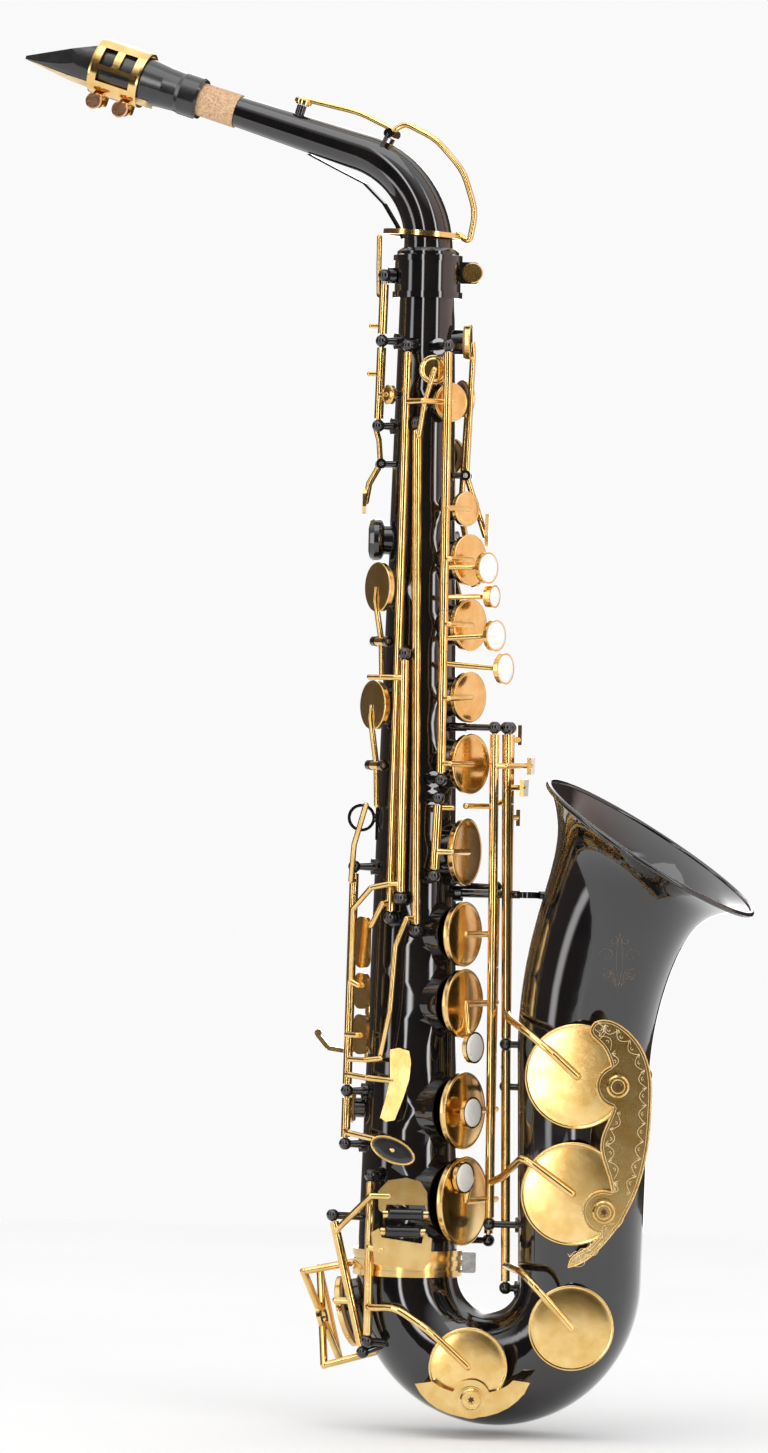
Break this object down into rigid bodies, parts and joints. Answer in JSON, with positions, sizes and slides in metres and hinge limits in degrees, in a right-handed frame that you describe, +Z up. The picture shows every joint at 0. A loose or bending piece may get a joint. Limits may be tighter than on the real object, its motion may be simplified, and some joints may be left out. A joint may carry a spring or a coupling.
{
  "type": "alto saxophone",
  "caption": "Alto saxophone with glossy black tubes, gilt keys and guards, pearl touches, cork and mouthpiece with ligature.",
  "frame": {"origin": "centre of the strap ring", "axes": "+Z up along the body tube towards the neck, +X from the player towards the bell, -Y out of the key side"},
  "size_m": [0.3849, 0.1228, 0.6942],
  "materials": {
    "black_lacquer": "gloss",
    "gold_lacquer": "gloss",
    "steel": "satin",
    "cork": "matte",
    "ebonite": "gloss",
    "cane": "satin",
    "roller": "gloss"
  },
  "bodies": {
    "horn": {"bell": "black_lacquer", "bell_brace": "black_lacquer", "bell_key_guard": "gold_lacquer", "body_tube": "black_lacquer", "bow": "black_lacquer", "bow_clamp": "steel", "bow_clamp_ring": "gold_lacquer", "guard_bumpers": "gold_lacquer", "hinge_rods": "steel", "low_c_guard": "gold_lacquer", "low_e_flat_guard": "gold_lacquer", "neck_receiver": "black_lacquer", "posts": "black_lacquer", "strap_ring": "black_lacquer", "thumb_hook": "gold_lacquer", "thumb_rest": "black_lacquer"},
    "neck": {"neck_tube": "black_lacquer", "neck_cork": "cork", "neck_brace": "black_lacquer", "neck_key_saddle": "black_lacquer"},
    "mouthpiece_set": {"mouthpiece": "ebonite", "reed": "cane", "ligature": "gold_lacquer"},
    "neck_screw": {"neck_screw": "gold_lacquer"},
    "neck_octave_key": {"neck_octave_key": "gold_lacquer"},
    "ligature_screw_1": {"ligature_screw_1": "gold_lacquer"},
    "ligature_screw_2": {"ligature_screw_2": "gold_lacquer"},
    "b_key": {"b_key": "gold_lacquer"},
    "c_vent_key": {"c_vent_key": "gold_lacquer"},
    "bis_key": {"bis_key": "gold_lacquer"},
    "a_key": {"a_key": "gold_lacquer"},
    "g_key": {"g_key": "gold_lacquer"},
    "g_sharp_key": {"g_sharp_key": "gold_lacquer"},
    "f_sharp_key": {"f_sharp_key": "gold_lacquer"},
    "f_key": {"f_key": "gold_lacquer"},
    "e_key": {"e_key": "gold_lacquer"},
    "d_key": {"d_key": "gold_lacquer"},
    "palm_f_key": {"palm_f_key": "gold_lacquer"},
    "palm_e_flat_key": {"palm_e_flat_key": "gold_lacquer"},
    "palm_d_key": {"palm_d_key": "gold_lacquer"},
    "high_e_key": {"high_e_key": "gold_lacquer"},
    "side_c_lever": {"side_c_lever": "gold_lacquer"},
    "side_c_key": {"side_c_key": "gold_lacquer"},
    "side_b_flat_key": {"side_b_flat_key": "gold_lacquer"},
    "side_b_flat_lever": {"side_b_flat_lever": "gold_lacquer"},
    "high_f_sharp_lever": {"high_f_sharp_lever": "gold_lacquer"},
    "f_sharp_trill_key": {"f_sharp_trill_key": "gold_lacquer"},
    "high_f_sharp_key": {"high_f_sharp_key": "gold_lacquer"},
    "octave_pin_key": {"octave_pin_key": "gold_lacquer"},
    "octave_vent_key": {"octave_vent_key": "gold_lacquer"},
    "octave_lever": {"octave_lever": "gold_lacquer"},
    "low_b_flat_key": {"low_b_flat_key": "gold_lacquer"},
    "low_c_sharp_key": {"low_c_sharp_key": "gold_lacquer"},
    "low_b_key": {"low_b_key": "gold_lacquer"},
    "g_sharp_lever": {"g_sharp_lever": "gold_lacquer"},
    "low_c_sharp_lever": {"low_c_sharp_lever": "gold_lacquer"},
    "low_c_key": {"low_c_key": "gold_lacquer"},
    "low_c_roller": {"low_c_roller": "roller"},
    "low_e_flat_key": {"low_e_flat_key": "gold_lacquer"},
    "low_e_flat_roller": {"low_e_flat_roller": "roller"}
  },
  "joints": [
    {"name": "neck_swivel", "type": "hinge", "parent": "horn", "child": "neck", "pos_m": [0.02666, 0.00714, 0.2825], "axis": [0, 0, 1], "range_deg": [-12, 12]},
    {"name": "mouthpiece_slide", "type": "slide", "parent": "neck", "child": "mouthpiece_set", "axis": [-0.9537, 0, 0.3007], "range_m": [-0.004, 0.006]},
    {"name": "neck_screw_turn", "type": "hinge", "parent": "horn", "child": "neck_screw", "pos_m": [0.0483, 0.01294, 0.274], "axis": [0.2588, -0.9659, 0], "continuous": true},
    {"name": "neck_octave_key_hinge", "type": "hinge", "parent": "neck", "child": "neck_octave_key", "pos_m": [0.00659, 0.00714, 0.34363], "axis": [0, 1, 0], "range_deg": [0, 1.9], "stiffness_Nm_per_rad": 0.06, "springref_deg": -10},
    {"name": "ligature_screw_1_turn", "type": "hinge", "parent": "mouthpiece_set", "child": "ligature_screw_1", "pos_m": [-0.13377, 0.00714, 0.35529], "axis": [0, -1, 0], "continuous": true},
    {"name": "ligature_screw_2_turn", "type": "hinge", "parent": "mouthpiece_set", "child": "ligature_screw_2", "pos_m": [-0.1476, 0.00714, 0.35965], "axis": [0, -1, 0], "continuous": true},
    {"name": "b_key_hinge", "type": "hinge", "parent": "horn", "child": "b_key", "pos_m": [0.04458, -0.01674, 0.1482], "axis": [0.0048, -0.0035, -1], "range_deg": [-9.93, 0], "stiffness_Nm_per_rad": 0.06, "springref_deg": 19.85},
    {"name": "c_vent_key_hinge", "type": "hinge", "parent": "horn", "child": "c_vent_key", "pos_m": [0.04417, -0.01644, 0.233], "axis": [0.0048, -0.0035, -1], "range_deg": [-9.14, 0], "stiffness_Nm_per_rad": 0.06, "springref_deg": 18.28},
    {"name": "bis_key_hinge", "type": "hinge", "parent": "horn", "child": "bis_key", "pos_m": [0.04472, -0.01685, 0.1177], "axis": [-0.0048, 0.0035, 1], "range_deg": [0, 5], "stiffness_Nm_per_rad": 0.06, "springref_deg": -10},
    {"name": "a_key_hinge", "type": "hinge", "parent": "horn", "child": "a_key", "pos_m": [0.04479, -0.0169, 0.1042], "axis": [0.0048, -0.0035, -1], "range_deg": [-9.89, 0], "stiffness_Nm_per_rad": 0.06, "springref_deg": 19.78},
    {"name": "g_key_hinge", "type": "hinge", "parent": "horn", "child": "g_key", "pos_m": [0.04489, -0.01697, 0.0836], "axis": [0.0048, -0.0035, -1], "range_deg": [-9.85, 0], "stiffness_Nm_per_rad": 0.06, "springref_deg": 19.69},
    {"name": "g_sharp_key_hinge", "type": "hinge", "parent": "horn", "child": "g_sharp_key", "pos_m": [0.04411, -0.01751, 0.00735], "axis": [-0.0328, -0.0168, -0.9993], "range_deg": [0, 8.57], "stiffness_Nm_per_rad": 0.06, "springref_deg": -17.15},
    {"name": "f_sharp_key_hinge", "type": "hinge", "parent": "horn", "child": "f_sharp_key", "pos_m": [0.06553, 0.01818, -0.037], "axis": [0, 0, 1], "range_deg": [-7.8, 0], "stiffness_Nm_per_rad": 0.06, "springref_deg": 15.61},
    {"name": "f_key_hinge", "type": "hinge", "parent": "horn", "child": "f_key", "pos_m": [0.06553, 0.01818, -0.0738], "axis": [0, 0, 1], "range_deg": [-7.8, 0], "stiffness_Nm_per_rad": 0.06, "springref_deg": 15.61},
    {"name": "e_key_hinge", "type": "hinge", "parent": "horn", "child": "e_key", "pos_m": [0.06553, 0.01818, -0.1178], "axis": [0, 0, 1], "range_deg": [-7.8, 0], "stiffness_Nm_per_rad": 0.06, "springref_deg": 15.61},
    {"name": "d_key_hinge", "type": "hinge", "parent": "horn", "child": "d_key", "pos_m": [0.06553, 0.01818, -0.1673], "axis": [0, 0, 1], "range_deg": [-7.8, 0], "stiffness_Nm_per_rad": 0.06, "springref_deg": 15.61},
    {"name": "palm_f_key_hinge", "type": "hinge", "parent": "horn", "child": "palm_f_key", "pos_m": [0.04698, 0.01517, 0.1725], "axis": [-0.1908, 0.9816, 0], "range_deg": [0, 2.57], "stiffness_Nm_per_rad": 0.06, "springref_deg": -10},
    {"name": "palm_e_flat_key_hinge", "type": "hinge", "parent": "horn", "child": "palm_e_flat_key", "pos_m": [0.03931, 0.02545, 0.1545], "axis": [-0.7071, 0.7071, 0], "range_deg": [0, 3.02], "stiffness_Nm_per_rad": 0.06, "springref_deg": -10},
    {"name": "palm_d_key_hinge", "type": "hinge", "parent": "horn", "child": "palm_d_key", "pos_m": [0.02853, 0.02959, 0.1425], "axis": [-0.9659, 0.2588, 0], "range_deg": [0, 4.3], "stiffness_Nm_per_rad": 0.06, "springref_deg": -10},
    {"name": "high_e_key_hinge", "type": "hinge", "parent": "horn", "child": "high_e_key", "pos_m": [0.02247, -0.01328, 0.23305], "axis": [-0.007, -0.0156, -0.9999], "range_deg": [0, 4.01], "stiffness_Nm_per_rad": 0.06, "springref_deg": -10},
    {"name": "side_c_lever_hinge", "type": "hinge", "parent": "horn", "child": "side_c_lever", "pos_m": [0.02603, -0.02062, 0.07905], "axis": [0.0074, -0.015, -0.9999], "range_deg": [0, 4], "stiffness_Nm_per_rad": 0.06, "springref_deg": -10},
    {"name": "side_c_key_hinge", "type": "hinge", "parent": "horn", "child": "side_c_key", "pos_m": [0.01363, -0.01154, 0.0885], "axis": [0.7071, -0.7071, 0], "range_deg": [0, 5.52], "stiffness_Nm_per_rad": 0.06, "springref_deg": -11.04},
    {"name": "side_b_flat_key_hinge", "type": "hinge", "parent": "horn", "child": "side_b_flat_key", "pos_m": [0.01262, -0.01256, 0.0265], "axis": [0.7071, -0.7071, 0], "range_deg": [0, 4.97], "stiffness_Nm_per_rad": 0.06, "springref_deg": -10},
    {"name": "side_b_flat_lever_hinge", "type": "hinge", "parent": "horn", "child": "side_b_flat_lever", "pos_m": [-0.00151, -0.00613, -0.02795], "axis": [0.0106, 0.0103, 0.9999], "range_deg": [0, 5], "stiffness_Nm_per_rad": 0.06, "springref_deg": -10},
    {"name": "high_f_sharp_lever_hinge", "type": "hinge", "parent": "horn", "child": "high_f_sharp_lever", "pos_m": [-0.00247, -0.00705, -0.1178], "axis": [0.0106, 0.0103, 0.9999], "range_deg": [0, 5], "stiffness_Nm_per_rad": 0.06, "springref_deg": -10},
    {"name": "f_sharp_trill_key_hinge", "type": "hinge", "parent": "horn", "child": "f_sharp_trill_key", "pos_m": [-0.00271, -0.00728, -0.14035], "axis": [0.0106, 0.0103, 0.9999], "range_deg": [0, 13], "stiffness_Nm_per_rad": 0.06, "springref_deg": -26},
    {"name": "high_f_sharp_key_hinge", "type": "hinge", "parent": "horn", "child": "high_f_sharp_key", "pos_m": [0.02801, -0.0131, 0.19405], "axis": [0.0253, -0.0243, -0.9994], "range_deg": [0, 3.86], "stiffness_Nm_per_rad": 0.06, "springref_deg": -10},
    {"name": "octave_pin_key_hinge", "type": "hinge", "parent": "horn", "child": "octave_pin_key", "pos_m": [0.00701, -0.00336, 0.26735], "axis": [-0.017, -0.0183, -0.9997], "range_deg": [0, 5], "stiffness_Nm_per_rad": 0.06, "springref_deg": -10},
    {"name": "octave_vent_key_hinge", "type": "hinge", "parent": "horn", "child": "octave_vent_key", "pos_m": [0.00647, -0.00394, 0.23565], "axis": [-0.017, -0.0183, -0.9997], "range_deg": [0, 11.48], "stiffness_Nm_per_rad": 0.06, "springref_deg": -22.96},
    {"name": "octave_lever_hinge", "type": "hinge", "parent": "horn", "child": "octave_lever", "pos_m": [0.00717, -0.00352, 0.1775], "axis": [0.2924, -0.9563, 0], "range_deg": [0, 6], "stiffness_Nm_per_rad": 0.06, "springref_deg": -12},
    {"name": "low_b_flat_key_hinge", "type": "hinge", "parent": "horn", "child": "low_b_flat_key", "pos_m": [0.07294, 0.00504, 0.04305], "axis": [0.0185, 0.0013, -0.9998], "range_deg": [-6.58, 0], "stiffness_Nm_per_rad": 0.06, "springref_deg": 13.16},
    {"name": "low_c_sharp_key_hinge", "type": "hinge", "parent": "horn", "child": "low_c_sharp_key", "pos_m": [0.07587, 0.00524, -0.11515], "axis": [0.0185, 0.0013, -0.9998], "range_deg": [0, 7.21], "stiffness_Nm_per_rad": 0.06, "springref_deg": -14.41},
    {"name": "low_b_key_hinge", "type": "hinge", "parent": "horn", "child": "low_b_key", "pos_m": [0.06793, 0.00006, 0.04305], "axis": [0.0113, -0.0032, -0.9999], "range_deg": [-5.9, 0], "stiffness_Nm_per_rad": 0.06, "springref_deg": 11.8},
    {"name": "g_sharp_lever_hinge", "type": "hinge", "parent": "horn", "child": "g_sharp_lever", "pos_m": [0.07125, 0.01857, 0.04305], "axis": [-0.008, -0.0022, 1], "range_deg": [0, 4], "stiffness_Nm_per_rad": 0.06, "springref_deg": -10},
    {"name": "low_c_sharp_lever_hinge", "type": "hinge", "parent": "horn", "child": "low_c_sharp_lever", "pos_m": [0.07153, 0.01865, 0.0082], "axis": [-0.008, -0.0022, 1], "range_deg": [0, 4], "stiffness_Nm_per_rad": 0.06, "springref_deg": -10},
    {"name": "low_c_key_hinge", "type": "hinge", "parent": "horn", "child": "low_c_key", "pos_m": [0.01422, -0.02062, -0.18145], "axis": [0, 0, -1], "range_deg": [-4.41, 0], "stiffness_Nm_per_rad": 0.06, "springref_deg": 8.81},
    {"name": "low_c_roller_turn", "type": "hinge", "parent": "low_c_key", "child": "low_c_roller", "pos_m": [0.02561, -0.03202, -0.2051], "axis": [0.983, 0.1838, 0], "continuous": true},
    {"name": "low_e_flat_key_hinge", "type": "hinge", "parent": "horn", "child": "low_e_flat_key", "pos_m": [-0.00515, -0.01736, -0.20216], "axis": [-0.2419, 0, 0.9703], "range_deg": [0, 4.91], "stiffness_Nm_per_rad": 0.06, "springref_deg": -10},
    {"name": "low_e_flat_roller_turn", "type": "hinge", "parent": "low_e_flat_key", "child": "low_e_flat_roller", "pos_m": [0.027, -0.03314, -0.1963], "axis": [0.9659, 0.2588, 0], "continuous": true}
  ],
  "couplings": [
    {"joint": "side_c_key_hinge", "follows": "side_c_lever_hinge", "ratio": 1.3793},
    {"joint": "side_b_flat_key_hinge", "follows": "side_b_flat_lever_hinge", "ratio": 0.99313},
    {"joint": "high_f_sharp_key_hinge", "follows": "high_f_sharp_lever_hinge", "ratio": 0.77233},
    {"joint": "g_sharp_key_hinge", "follows": "g_sharp_lever_hinge", "ratio": 2.1434},
    {"joint": "low_c_sharp_key_hinge", "follows": "low_c_sharp_lever_hinge", "ratio": 1.8016},
    {"joint": "octave_pin_key_hinge", "follows": "octave_lever_hinge", "ratio": 0.83333},
    {"joint": "neck_octave_key_hinge", "follows": "octave_lever_hinge", "ratio": 0.31667},
    {"joint": "c_vent_key_hinge", "follows": "a_key_hinge", "ratio": 0.92407},
    {"joint": "f_sharp_key_hinge", "follows": "f_key_hinge", "ratio": 1}
  ]
}
